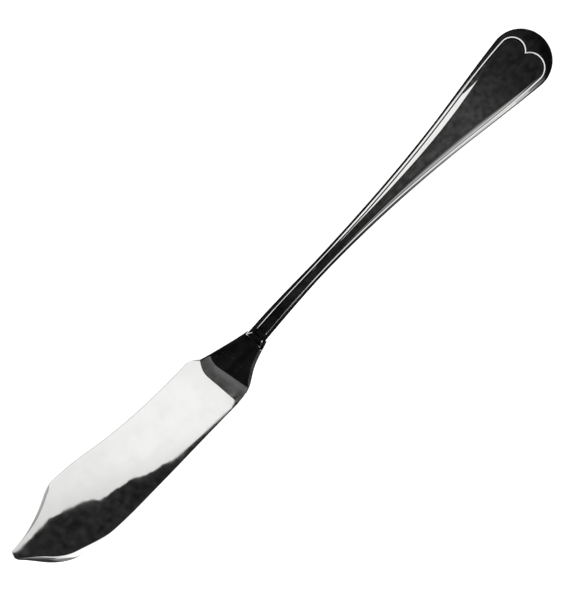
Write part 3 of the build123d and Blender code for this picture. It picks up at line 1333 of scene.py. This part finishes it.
    def build(self) -> Piece:
        """Model the blade.

        Returns:
            The finished piece.
        """
        outline, widths = self.outline(), self.widths()
        border = set_in(outline, widths)
        bench = Workpiece("plated_blade", self.columns, self.rows)
        bench.lay(border, lambda x, y, along: self.middle + self.half(y))
        for ring in self.border_rings(outline, border, widths):
            bench.draw_out(ring)
        bench.turn_over(self.middle)
        return bench.finish(self.crease)

    def dress(self, piece: Piece, plate: Material) -> None:
        """Plate the blade."""
        settle(piece, plate, "blade")


@dataclass
class Shoulder:
    """The cast fan between neck and blade, with its ears, its slot, its tang and two pins.

    Stations are measured from the handle's mouth towards the tip.
    """

    handle: Handle
    blade: Blade
    length: float = 14.1
    seat_gap: float = 0.1
    seat_spine: float = 1.725
    seat_edge: float = -3.6
    # Painted shade on the seat, where the neck's mouth butts against the fan.
    seat_painted_shade: float = 0.8
    throat_half: float = 2.3
    throat_bend: float = 1.6
    spine_ear: Point = (-0.8, 1.975)
    spine_ear_inside: float = 1.8
    spine_ways: tuple[Point, Point] = ((-1.0, 0.2), (-1.0, 0.32))
    edge_ear: Point = (-2.4, -3.875)
    edge_ear_inside: float = -3.42
    ear_thinning: float = 0.8
    ear_flare: float = 18.0
    ear_runs: int = 5
    flare_station: float = 5.8
    flare_spine: float = 3.55
    flare_edge: float = -6.8
    swell: Point = (10.0, -9.2)
    corner_side: float = 5.9
    lip: tuple[Point, ...] = ((15.75, 3.0), (15.85, -1.0), (15.6, -5.0))
    lip_ways: tuple[Point, Point] = ((-0.6, -0.85), (0.1, -1.0))
    crease_stations: Point = (11.2, 10.2)
    bevel_half: float = 1.7
    bevel_tilt: float = 7.5
    bevel_bend: float = 0.0049
    facet: float = 0.85
    facet_fall: float = 0.6
    facet_starts: Point = (-4.0, 2.0)
    facet_ends: Point = (11.5, 8.0)
    arris: float = 0.14
    arris_fall: float = 0.8
    arris_start: float = 0.1
    spine_arris: float = 0.42
    spine_arris_starts: Point = (4.0, 9.0)
    end_arris: float = 0.02
    slot_gap: float = 0.02
    tang_half_thickness: float = 0.8
    tang_root_half: float = 0.9
    tang_end_half: float = 0.6
    tang_length: float = 55.0
    pin_radius: float = 0.8
    pin_station: float = 8.5
    pin_along: float = 0.5
    pin_sides: Point = (0.0, -3.8)
    pin_top: float = 3.7
    pin_proud: float = 0.012
    pin_bevel: float = 0.05
    pin_bevel_steps: int = 3
    pin_crease: float = 40.0
    pin_facets: int = 64
    near: float = 0.05
    crease: float = 20.0
    face_columns: int = 48
    band_columns: int = 24
    rows: int = 40

    def __post_init__(self) -> None:
        """Work out the level that the fan lies at, and where its seat is."""
        self.columns = self.face_columns + self.band_columns
        self.middle = self.handle.middle
        self.seat_x = self.handle.mouth_x - self.seat_gap

    def profile(self, along: float, beyond: float = 0.0) -> float:
        """Give half of the fan's thickness: a slope that flattens out, then the bevel to the blade.

        Args:
            along: Share along the fan.
            beyond: How far past the crease a point of the bevel lies.

        Returns:
            The half thickness.
        """
        crease = self.face_columns / self.columns
        if along < crease:
            return mix(self.bevel_half, self.throat_half, (1 - along / crease) ** self.throat_bend)
        fall = math.tan(math.radians(self.bevel_tilt))
        return self.bevel_half - fall * beyond - self.bevel_bend * beyond**2

    def sides(self) -> tuple[list[Point], list[Point]]:
        """Draw the fan's two long sides from the ears to the blade.

        Returns:
            The spine side and the edge side, finely cut.
        """
        at, blade = self.blade.at, self.blade
        fine = 600
        flare = math.radians(self.ear_flare)
        flare_way = (-math.cos(flare), -math.sin(flare))
        corner = (self.length, self.corner_side)
        places = (self.spine_ear, (self.flare_station, self.flare_spine), corner)
        spine = smooth_curve([at(*place) for place in places], *self.spine_ways, fine)
        heel = (blade.heel_station, blade.heel_edge)
        places = (self.edge_ear, (self.flare_station, self.flare_edge), self.swell, heel)
        edge = smooth_curve([at(*place) for place in places], flare_way, (-1.0, 0.0), fine)
        return spine, edge

    def outline(self) -> list[Point]:
        """Draw the fan from its seat to the blade, without the ears.

        Returns:
            The closed ring: the spine side, the end over the blade, the edge side and the seat.
        """
        cut = []
        fine = 300
        for line, crease in zip(self.sides(), self.crease_stations):
            stations = [self.handle.mouth_x - x for x, _ in line]
            sides = [y for _, y in line]
            parts = []
            stops = (self.seat_gap, crease, stations[-1])
            for first, last, runs in zip(stops, stops[1:], (self.face_columns, self.band_columns)):
                steps = [mix(first, last, i / fine) for i in range(fine + 1)]
                places = [self.blade.at(s, float(np.interp(s, stations, sides))) for s in steps]
                parts += spaced(places, runs)[:-1]
            cut.append(parts + [line[-1]])
        spine, edge = cut
        knots = [spine[-1], *(self.blade.at(*place) for place in self.lip), edge[-1]]
        end = smooth_curve(knots, *self.lip_ways, self.rows)
        low, high = (self.seat_x, self.seat_edge), (self.seat_x, self.seat_spine)
        seat = straight(edge[0], low, self.ear_runs)[:-1]
        seat += straight(low, high, self.rows - 2 * self.ear_runs)[:-1]
        seat += straight(high, spine[0], self.ear_runs)
        return spine[:-1] + end[:-1] + edge[::-1][:-1] + seat[:-1]

    def widths(self) -> list[float]:
        """Say how wide the facet or the arris is at each point of the outline.

        Returns:
            One width for each point.
        """
        widths = []
        edge_start = self.columns + self.rows
        for i, (x, _) in enumerate(self.outline()):
            station = self.handle.mouth_x - x
            if edge_start < i < edge_start + self.columns:
                share = smoothstep(*self.facet_ends, station) * smoothstep(*self.facet_starts, station)
                widths.append(mix(self.arris, self.facet, share))
            elif 0 < i < self.columns:
                share = smoothstep(*self.spine_arris_starts, station)
                widths.append(mix(self.arris, self.spine_arris, share))
            else:
                widths.append(self.end_arris)
        return widths

    def build(self) -> list[Piece]:
        """Model the fan with its ears and its tang, and the pins.

        Returns:
            The fan and the pair of pins.
        """
        outline, widths = self.outline(), self.widths()
        border = set_in(outline, widths)
        bench = Workpiece("plated_shoulder", self.columns, self.rows)
        rim = np.array(border)
        crease = [bench.patch(rim, self.face_columns, row) for row in range(self.rows + 1)]
        crease_places, crease_sides = zip(*crease)

        def height(x: float, y: float, along: float) -> float:
            """Give the height of the fan's face and bevel."""
            beyond = float(np.interp(y, crease_sides, crease_places)) - x
            return self.middle + self.profile(along, max(beyond, 0.0))

        bench.lay(border, height)
        tops = [height(*place, bench.along(i)) for i, place in enumerate(border)]
        for ring in self.border_rings(outline, border, widths, tops):
            bench.draw_out(ring)
        hair = 0.03
        # Painted shade on the seat; the ears and the tang pulled from it lose it again below.
        bench.darken(lambda place: place.x > self.seat_x - hair, self.seat_painted_shade)
        bench.crease(self.face_columns)
        self.add_ears(bench)
        bench.darken(lambda place: place.x > self.seat_x + hair, 0.0)
        self.add_tang(bench)
        bench.turn_over(self.middle)
        return [bench.finish(self.crease), self.build_pins()]

    def border_rings(
        self,
        outline: list[Point],
        border: list[Point],
        widths: list[float],
        tops: list[float],
    ) -> list[list[Place]]:
        """Draw the rings from the face's edge over the facet, down the side and into the slot.

        Args:
            outline: The fan's outline.
            border: The edge of its face.
            widths: How wide the facet or the arris is at each point.
            tops: How high the edge of the face is there.

        Returns:
            The soft start, the rim, the ledge over the blade, the slot's end and the middle.
        """
        blade = self.blade
        end = range(self.columns, self.columns + self.rows + 1)
        soft, rim, ledge, slot, level = [], [], [], [], []
        for i, ((x, y), (bx, by)) in enumerate(zip(outline, border)):
            fall = (self.facet_fall if i > self.columns else self.arris_fall) * widths[i]
            start = self.arris_start
            soft.append((mix(bx, x, start), mix(by, y, start), tops[i] - start * fall))
            rim.append((x, y, tops[i] - fall))
            half = blade.half(y) + self.slot_gap if i in end else self.tang_half_thickness
            ledge.append((x, y, self.middle + half))
            share = (i - self.columns) / self.rows
            inner = blade.at(blade.root_station, mix(blade.root_spine, blade.root_edge, share))
            sx, sy = inner if i in end else (x, y)
            slot.append((sx, sy, self.middle + half))
            level.append((sx, sy, self.middle))
        return [soft, rim, ledge, slot, level]

    def add_ears(self, bench: Workpiece) -> None:
        """Draw an ear back from the seat on each side of the neck.

        Args:
            bench: The fan on its bench.
        """
        ears = (
            (self.spine_ear, self.seat_spine, self.spine_ear_inside),
            (self.edge_ear, self.seat_edge, self.edge_ear_inside),
        )
        for tip, seat, inside in ears:
            way = math.copysign(1.0, tip[1] - seat)
            tip_x = self.handle.mouth_x - tip[0]

            def chosen(middle: Vector) -> bool:
                """Say whether a face is on the seat, beside the neck."""
                return abs(middle.x - self.seat_x) < self.near and way * (middle.y - seat) > 0

            def move(corner: Vector) -> Place:
                """Bring a corner back to the ear's tip."""
                y = inside if way * (corner.y - seat) < self.near else tip[1]
                return (tip_x, y, mix(self.middle, corner.z, self.ear_thinning))

            bench.pull(chosen, move)

    def add_tang(self, bench: Workpiece) -> None:
        """Draw the tang back from the seat, first to the waist and then to its end.

        Args:
            bench: The fan on its bench.
        """
        handle = self.handle
        top = self.middle + self.tang_half_thickness

        def at_seat(middle: Vector) -> bool:
            """Say whether a face is in the middle of the seat and below the tang's top."""
            across = abs(middle.y + handle.neck_sweep) < self.tang_root_half
            return across and abs(middle.x - self.seat_x) < self.near and middle.z < top

        def at_waist(middle: Vector) -> bool:
            """Say whether a face is on the tang's first end."""
            return abs(middle.x - handle.waist_x) < self.near

        def to_waist(corner: Vector) -> Place:
            """Bring a corner to the waist, on the handle's axis."""
            return (handle.waist_x, corner.y + handle.neck_sweep, corner.z)

        def to_end(corner: Vector) -> Place:
            """Bring a corner to the tang's narrow end."""
            share = self.tang_end_half / self.tang_root_half
            return (handle.mouth_x + self.tang_length, corner.y * share, corner.z)

        bench.pull(at_seat, to_waist)
        bench.pull(at_waist, to_end)

    def build_pins(self) -> Piece:
        """Model the two pins as one piece: cylinders with softened ends, a hair proud at the back.

        Returns:
            The pins.
        """
        made = []
        foot = self.middle - self.profile(self.pin_along) - self.pin_proud
        for side in self.pin_sides:
            middle = Vector((*self.blade.at(self.pin_station, side), (self.pin_top + foot) / 2))
            bpy.ops.object.select_all(action="DESELECT")
            bpy.ops.mesh.primitive_cylinder_add(
                vertices=self.pin_facets,
                radius=self.pin_radius * MM,
                depth=(self.pin_top - foot) * MM,
                location=middle * MM,
            )
            pin = bpy.context.active_object
            bpy.ops.object.mode_set(mode="EDIT")
            pick_faces(pin, lambda face: abs(face.normal.z) > abs(face.normal.x) + abs(face.normal.y))
            bpy.ops.mesh.bevel(offset=self.pin_bevel * MM, segments=self.pin_bevel_steps)
            bpy.ops.object.mode_set(mode="OBJECT")
            bpy.ops.object.shade_smooth_by_angle(angle=math.radians(self.pin_crease))
            made.append(pin)
        for pin in made:
            pin.select_set(True)
        bpy.ops.object.join()
        bpy.ops.object.transform_apply(location=True, rotation=True, scale=True)
        pins = bpy.context.active_object
        pins.name = pins.data.name = "shoulder_pin_pair"
        return pins

    def dress(self, pieces: Sequence[Piece], plate: Material, wire: Material) -> None:
        """Plate the fan and leave the pins as wire.

        Args:
            pieces: The fan and the pins.
            plate: The fan's finish.
            wire: The pins' finish.
        """
        body, pins = pieces
        settle(body, plate, "shoulder")
        settle(pins, wire, "shoulder_pins")


@dataclass(frozen=True)
class Card:
    """A flat card: level at one height, or upright between two ends, from its foot to its top."""

    name: str
    grey: CardGrey | SkyWhite
    outline: tuple[Point, ...]
    heights: tuple[float, ...]

    def corners(self) -> list[Place]:
        """Go round a level card, or along an upright one's foot and back along its top."""
        ways = (self.outline, self.outline[::-1])
        return [(x, y, z) for line, z in zip(ways, self.heights) for x, y in line]


FAN_GREY = CardGrey("fan_flag_grey", (Tone((0.0005, 0.01)),), cloud_scale=300.0)
BELLY_GREY = CardGrey("belly_flag_grey", (Tone((0.008, 0.032)),), cloud_scale=500.0)
SIDE_GREY = CardGrey("side_grey", (Tone((0.004, 0.012)),), cloud_scale=20.0)
FACET_GREY = CardGrey("facet_grey", (Tone((0.03, 0.08)),), cloud_scale=30.0)
BRIGHT_WHITE = CardGrey("bright_white", (Tone((1.17, 1.19)),), cloud_scale=5.0)
TIP_GREY = CardGrey("tip_grey", (Tone(along=((-227.6, -223.5, 0.035, 0.24),)),))
SLIVER_GREY = CardGrey("sliver_grey", (Tone(along=((-214.5, -209.5, 0.08, 1.0),)),))
# Nearly black, but paler beside the handle.
EDGE_GREY = CardGrey(
    "edge_side_grey",
    (Tone(along=((-12.0, -28.0, 0.0, 0.2), (-72.0, -52.0, 0.0, 1.0))),),
    least=0.008,
)
# Palest along the near edge.
BAND_GREY = CardGrey(
    "band_grey",
    (Tone((0.03, 0.12)), Tone(along=((-385.0, -350.0, 0.0, 0.06),))),
    cloud_scale=34.0,
    cloud_detail=5.0,
    cloud_range=(0.35, 0.65),
    cloud_stretch=(1.0, 4.0, 1.0),
)
# Darker where the notch mirrors it than where the long spine does.
BACK_GREY = CardGrey(
    "back_grey",
    (
        Tone(across=((165.0, 185.0, 0.37, 0.66),)),
        Tone(along=((-245.0, -275.0, 0.0, 0.25),)),
    ),
)
# How far along the knife the handle's flag is paler on the edge side.
EDGE_SIDE_STRETCH = ((8.0, -6.0, 0.0, 1.0), (-78.0, -66.0, 0.0, 1.0))
# Dark at butt and mouth, paler over the panel's narrow half, and in two steps on the edge side.
HANDLE_GREY = CardGrey(
    "handle_flag_grey",
    (
        Tone((0.008, 0.026), along=((6.0, 11.0, 1.0, 0.3), (-98.0, -88.0, 0.2, 1.0))),
        Tone((0.02, 0.052), along=((0.0, -20.0, 0.0, 1.0), (-70.0, -40.0, 0.0, 1.0))),
        Tone(along=EDGE_SIDE_STRETCH, across=((-14.0, -22.0, 0.0, 0.28),)),
        Tone(along=EDGE_SIDE_STRETCH, across=((-24.0, -30.0, 0.0, 0.35),)),
    ),
    cloud_scale=560.0,
)
# The line that the dark tip card and the pale sliver card share.
TIP_LINE = ((-222.0, -36.0), (-230.0, -20.0), (-236.0, 0.0), (-236.0, 20.0))


@dataclass
class Studio:
    """White floor and world, soft lamps, cards that only the polish mirrors, and the camera.

    A flag's outline over the blade holds stations from the handle's mouth and sides: the
    places on the blade's face where the flag is mirrored. A card holds its own corners.
    """

    handle: Handle
    blade: Blade
    camera_height: float = 1500.0
    camera_range: float = 20000.0
    sensor: float = 24.0
    view_centre: Point = (-93.62, 1.33)
    view_tall: float = 166.0
    image_right: Point = (0.69727, -0.71681)
    floor_size: float = 6000.0
    floor_colour: Colour = (0.9, 0.9, 0.9)
    floor_lift: float = 0.45
    room_light: float = 0.45
    lamp_places: tuple[Place, Place] = ((-900.0, 500.0, 1100.0), (600.0, -700.0, 1200.0))
    lamp_size: float = 1200.0
    lamp_power: float = 9.0
    flag_height: float = 45.0
    fan_end: tuple[Point, ...] = (
        (13.8, 6.2), (15.3, 3.2), (15.5, -1.0), (15.2, -5.0), (15.1, -8.3), (15.8, -9.2), (17.5, -9.7),
    )
    fan_back: tuple[Point, ...] = ((-124.0, -46.0), (-98.0, -46.0), (-98.0, 20.0), (-118.0, 20.0))
    near_shore: tuple[Point, ...] = ((17.4, -9.7), (20.0, -9.55), (23.0, -9.35), (28.0, -9.1))
    ragged_shore: tuple[Point, ...] = (
        (37.6, -8.5), (41.8, -7.1), (47.3, -5.7), (50.1, -3.8), (55.6, -2.5), (61.6, -1.3), (62.0, 0.1),
        (65.3, 1.9), (69.6, 3.5), (75.0, 5.15), (79.0, 5.05), (86.5, 5.05), (88.6, 5.9), (91.0, 7.4),
    )
    tooth_run: float = 0.8
    tooth_depth: float = 0.22
    tooth_turns: Point = (2.4, 5.3)
    tooth_shift: float = 1.0
    tip_end: tuple[Point, ...] = (
        (95.0, 4.8), (92.0, 1.5), (88.5, -0.5), (84.5, -3.2),
        (78.8, -7.7), (70.5, -10.6), (58.0, -13.0), (17.4, -15.0),
    )
    handle_flag: tuple[Point, ...] = (
        (-98.0, -41.0), (-10.0, -41.0), (0.0, -48.0), (22.0, -48.0), (38.0, -35.0), (44.0, -18.0),
        (44.0, 18.0), (40.0, 32.0), (28.0, 44.0), (12.0, 50.0), (-25.0, 50.0), (-21.0, 37.0),
        (-14.5, 22.0), (-9.2, 9.5), (-66.0, 9.5), (-70.0, 20.0), (-74.0, 44.0), (-98.0, 44.0),
    )
    butt_heights: Point = (8.0, 120.0)
    butt_distance: float = 240.0
    butt_turns: tuple[float, ...] = (-75.0, -45.0, -15.0, 15.0, 45.0, 75.0)
    side_cards: tuple[Card, ...] = (
        Card("spine_side_card", SIDE_GREY, ((-320.0, 260.0), (120.0, 260.0)), (8.0, 120.0)),
        Card("edge_side_card", EDGE_GREY, ((-320.0, -260.0), (120.0, -260.0)), (8.0, 90.0)),
        Card("facet_card", FACET_GREY, ((-125.0, -262.0), (120.0, -262.0)), (90.0, 190.0)),
    )
    level_cards: tuple[Card, ...] = (
        Card(
            "tip_card",
            TIP_GREY,
            (
                (-212.0, -90.0), (-207.0, -66.0), (-203.0, -52.0), *TIP_LINE,
                (-290.0, 20.0), (-290.0, -90.0),
            ),
            (100.0,),
        ),
        Card("sliver_card", SLIVER_GREY, (*TIP_LINE, (-204.0, 20.0), (-204.0, -36.0)), (100.0,)),
        Card(
            "band_card",
            BAND_GREY,
            ((-265.0, -75.0), (-265.0, 120.0), (-416.0, 330.0), (-800.0, 400.0), (-800.0, -75.0)),
            (800.0,),
        ),
        Card(
            "back_card",
            BACK_GREY,
            (
                (-330.0, 60.0), (-212.0, 60.0), (-205.0, 115.0),
                (-115.0, 115.0), (-115.0, 240.0), (-330.0, 240.0),
            ),
            (200.0,),
        ),
        Card(
            "belly_card",
            BRIGHT_WHITE,
            ((-262.0, -55.0), (-150.0, -55.0), (-150.0, -240.0), (-262.0, -240.0)),
            (300.0,),
        ),
        Card(
            "sky_card",
            SkyWhite(),
            ((-300.0, -130.0), (-60.0, -130.0), (-60.0, 40.0), (-300.0, 40.0)),
            (1000.0,),
        ),
    )

    def build_floor(self) -> None:
        """Lay the pale floor, which keeps the knife's shadow."""
        bpy.ops.object.select_all(action="DESELECT")
        bpy.ops.mesh.primitive_plane_add(size=self.floor_size * MM)
        floor = bpy.context.active_object
        floor.name = "floor"
        board = NodeBoard(bpy.data.materials.new("pale_floor"))
        plain = board.add("ShaderNodeBsdfDiffuse", Color=(*self.floor_colour, 1.0))
        strength = board.sum("MULTIPLY", board.seen(), self.floor_lift)
        lift = board.add("ShaderNodeEmission", Color=WHITE, Strength=strength)
        both = board.add("ShaderNodeAddShader")
        for socket, shader in zip(both.inputs, (plain, lift)):
            board.put(socket, shader.outputs[0])
        coat(floor, board.done(both.outputs[0]))

    def build_world(self) -> None:
        """Make the world white to the eye and to the polish, and soft as a light."""
        world = bpy.data.worlds.new("white_room")
        bpy.context.scene.world = world
        board = NodeBoard(world)
        level = board.spread(board.seen(), 0.0, 1.0, self.room_light, 1.0)
        board.done(board.add("ShaderNodeBackground", Color=WHITE, Strength=level).outputs[0])

    def hang(self, name: str, corners: Sequence[Place], grey: CardGrey | SkyWhite) -> None:
        """Hang a flat card that only the polish mirrors.

        Args:
            name: The card's name.
            corners: Its corners in order, in millimetres.
            grey: Its finish, which is built once.
        """
        bpy.ops.object.select_all(action="DESELECT")
        bpy.ops.mesh.primitive_circle_add(vertices=len(corners), fill_type="NGON")
        card = bpy.context.active_object
        card.name = name
        for vertex, corner in zip(card.data.vertices, corners):
            vertex.co = Vector(corner) * MM
        coat(card, bpy.data.materials.get(grey.name) or grey.material())
        card.visible_camera = False
        card.visible_diffuse = False
        card.visible_shadow = False
        card.visible_transmission = False

    def mirrored(self, station: float, side: float) -> Place:
        """Say where the overhead flag has to reach to be mirrored at a point of the blade's face.

        Args:
            station: The point's station from the handle's mouth.
            side: Its side.

        Returns:
            The place on the flag.
        """
        blade = self.blade
        rise = self.flag_height - blade.middle - blade.edge_half
        grow = 1 + rise / self.camera_height
        lean = 2 * (blade.back_half - blade.edge_half) / (blade.hump[1] - blade.deepest)
        place = blade.at(station, side)
        x, y = (mid + (part - mid) * grow for part, mid in zip(place, self.view_centre))
        return (x, y - lean * rise, self.flag_height)

    def ragged(self, line: Sequence[Point]) -> list[Point]:
        """Roughen a line into short uneven runs.

        Args:
            line: The line's points.

        Returns:
            The rough line.
        """
        total = sum(math.dist(a, b) for a, b in zip(line, line[1:]))
        slow, quick = self.tooth_turns
        rough = []
        for i, (x, y) in enumerate(spaced(line, max(2, round(total / self.tooth_run)))):
            stray = (math.sin(slow * i) + math.sin(quick * i + self.tooth_shift)) / 2
            rough.append((x, y + self.tooth_depth * stray))
        return rough

    def hang_flags(self) -> None:
        """Hang the three dark flags over fan, belly and handle."""
        fan = [self.mirrored(*place) for place in self.fan_end]
        fan += [(x, y, self.flag_height) for x, y in self.fan_back]
        self.hang("fan_flag", fan, FAN_GREY)
        shore = (*self.near_shore, *self.ragged(self.ragged_shore), *self.tip_end)
        self.hang("belly_flag", [self.mirrored(*place) for place in shore], BELLY_GREY)
        self.hang("handle_flag", [(x, y, self.flag_height) for x, y in self.handle_flag], HANDLE_GREY)

    def hang_cards(self) -> None:
        """Stand the cards beside the knife, and hang the level ones over it."""
        turns = [math.radians(turn) for turn in self.butt_turns]
        around = [(self.butt_distance * math.cos(t), self.butt_distance * math.sin(t)) for t in turns]
        butt = []
        for i, ends in enumerate(zip(around, around[1:])):
            butt.append(Card(f"butt_card_{i}", SIDE_GREY, ends, self.butt_heights))
        for card in (*self.side_cards, *butt, *self.level_cards):
            self.hang(card.name, card.corners(), card.grey)

    def build_lamps(self) -> None:
        """Hang two large soft lamps that light the floor and stay out of the polish."""
        for name, place in zip(("lamp_left", "lamp_right"), self.lamp_places):
            bpy.ops.object.light_add(type="AREA", location=Vector(place) * MM)
            lamp = bpy.context.active_object
            lamp.name = name
            lamp.data.shape = "DISK"
            lamp.data.size = self.lamp_size * MM
            lamp.data.energy = self.lamp_power
            lamp.visible_glossy = False
            way = Vector((self.view_centre[0] * MM, 0.0, 0.0)) - lamp.location
            lamp.rotation_euler = way.to_track_quat("-Z", "Y").to_euler()

    def build_camera(self) -> None:
        """Stand the camera straight above the knife, turned as the picture is."""
        right = Vector((*self.image_right, 0.0)).normalized()
        back = Vector((0.0, 0.0, 1.0))
        up = back.cross(right)
        turn = Matrix((right, up, back)).transposed().to_4x4()
        place = Vector((*self.view_centre, self.camera_height)) * MM
        bpy.ops.object.camera_add()
        camera = bpy.context.active_object
        camera.matrix_world = Matrix.Translation(place) @ turn
        camera.data.sensor_fit = "VERTICAL"
        camera.data.sensor_height = self.sensor
        camera.data.lens = self.sensor * (self.camera_height - self.handle.middle) / self.view_tall
        camera.data.clip_end = self.camera_range * MM
        bpy.context.scene.camera = camera
        bpy.context.scene.view_settings.view_transform = "Standard"

    def build(self) -> None:
        """Build the whole studio."""
        self.build_floor()
        self.build_world()
        self.hang_flags()
        self.hang_cards()
        self.build_lamps()
        self.build_camera()


def main() -> None:
    """Build every piece in order, dress it and set the studio round it."""
    logging.basicConfig(level=logging.INFO, format="%(name)s: %(message)s")
    handle = Handle()
    blade = Blade(handle)
    shoulder = Shoulder(handle, blade)
    plate = PlatedFinish().material()
    solder = SatinFinish("soft_solder", (0.32, 0.31, 0.29), 0.28).material()
    wire = SatinFinish("pin_wire", (0.78, 0.77, 0.75), 0.2).material()
    handle.dress(handle.build(), plate, solder)
    shoulder.dress(shoulder.build(), plate, wire)
    blade.dress(blade.build(), plate)
    for node, finish in (("mouth_solder", solder), ("handle_filler", CementFinish().material())):
        coat(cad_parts[node], finish)
        log.info("%s keeps its CAD mesh", node)
    Studio(handle, blade).build()


if __name__ == "__main__":
    main()
